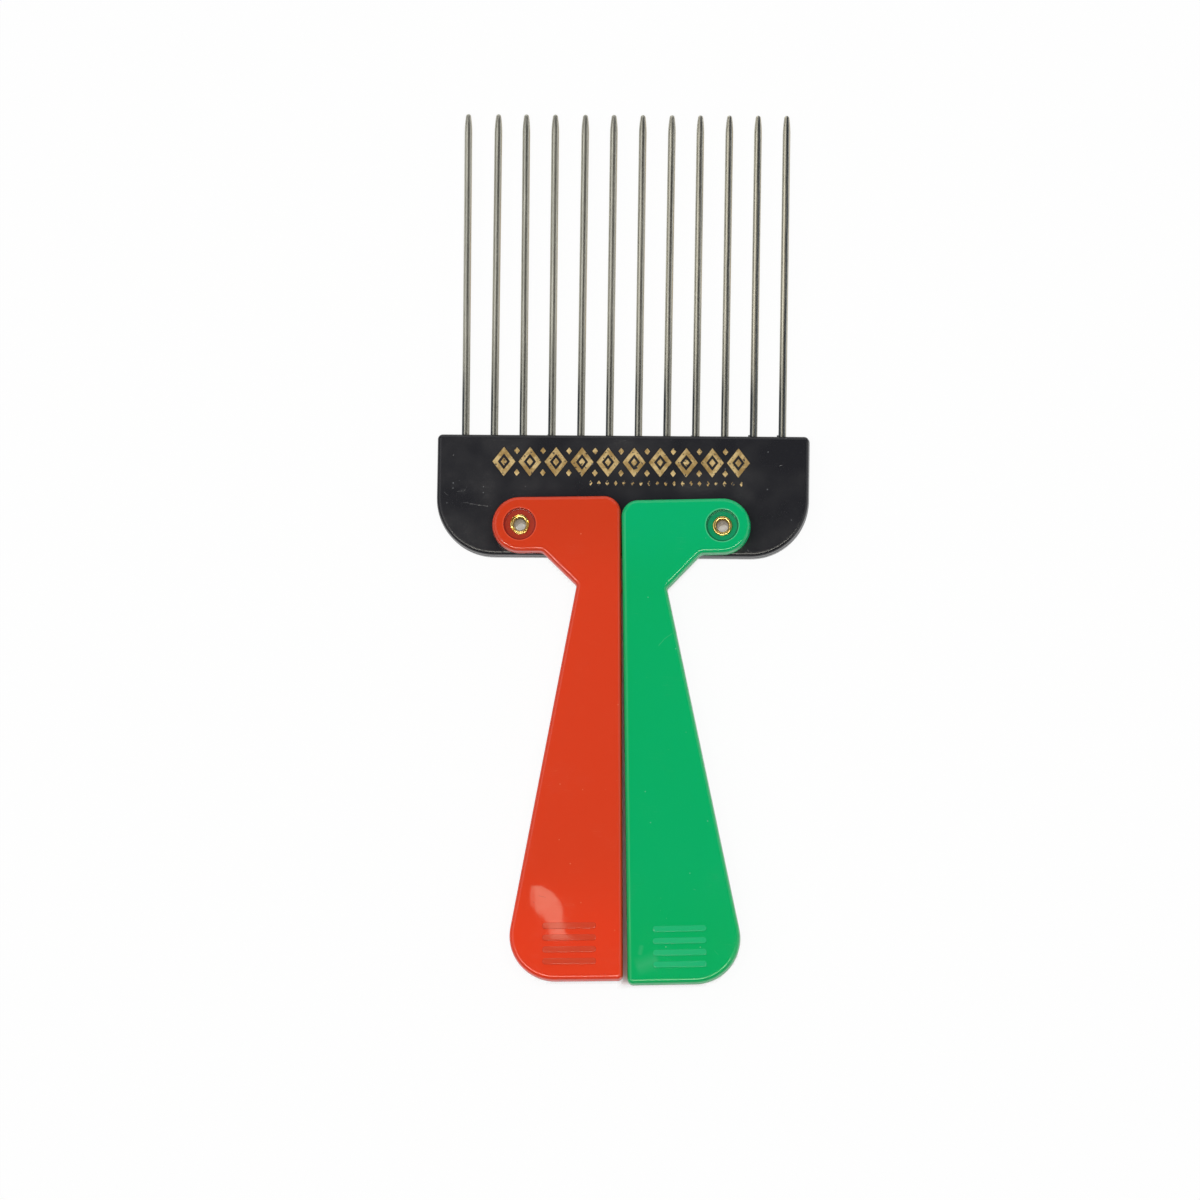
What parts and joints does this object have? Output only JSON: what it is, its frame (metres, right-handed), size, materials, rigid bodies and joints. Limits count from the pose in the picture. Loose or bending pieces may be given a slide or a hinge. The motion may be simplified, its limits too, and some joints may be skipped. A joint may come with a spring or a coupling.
{
  "type": "afro pick",
  "caption": "Folding afro pick: a comb head with long steel pins, and two coloured handle leaves that swing on hollow eyelets and fold up over the pins.",
  "frame": {"origin": "centre of the head's flat back face, on which the pick lies", "axes": "+X to the right seen from the front, +Y along the pins to their points, +Z out of the head's front face, towards the leaves"},
  "size_m": [0.0976, 0.2313, 0.0116],
  "materials": {
    "head_plastic": "satin moulded black plastic with light scuffs",
    "pin_steel": "satin drawn steel wire",
    "red_plastic": "gloss moulded plastic",
    "green_plastic": "gloss moulded plastic",
    "eyelet_brass": "bright brass"
  },
  "bodies": {
    "head": {"head_block": "head_plastic", "pin_01": "pin_steel", "pin_02": "pin_steel", "pin_03": "pin_steel", "pin_04": "pin_steel", "pin_05": "pin_steel", "pin_06": "pin_steel", "pin_07": "pin_steel", "pin_08": "pin_steel", "pin_09": "pin_steel", "pin_10": "pin_steel", "pin_11": "pin_steel", "pin_12": "pin_steel", "red_eyelet": "eyelet_brass", "green_eyelet": "eyelet_brass"},
    "red_handle": {"red_leaf": "red_plastic"},
    "green_handle": {"green_leaf": "green_plastic"}
  },
  "joints": [
    {"name": "red_fold", "type": "hinge", "parent": "head", "child": "red_handle", "pos_m": [-0.02655, -0.00855, 0.0089], "axis": [0, 0, -1], "range_deg": [0, 190]},
    {"name": "green_fold", "type": "hinge", "parent": "head", "child": "green_handle", "pos_m": [0.02655, -0.00855, 0.0089], "axis": [0, 0, 1], "range_deg": [0, 190]}
  ]
}
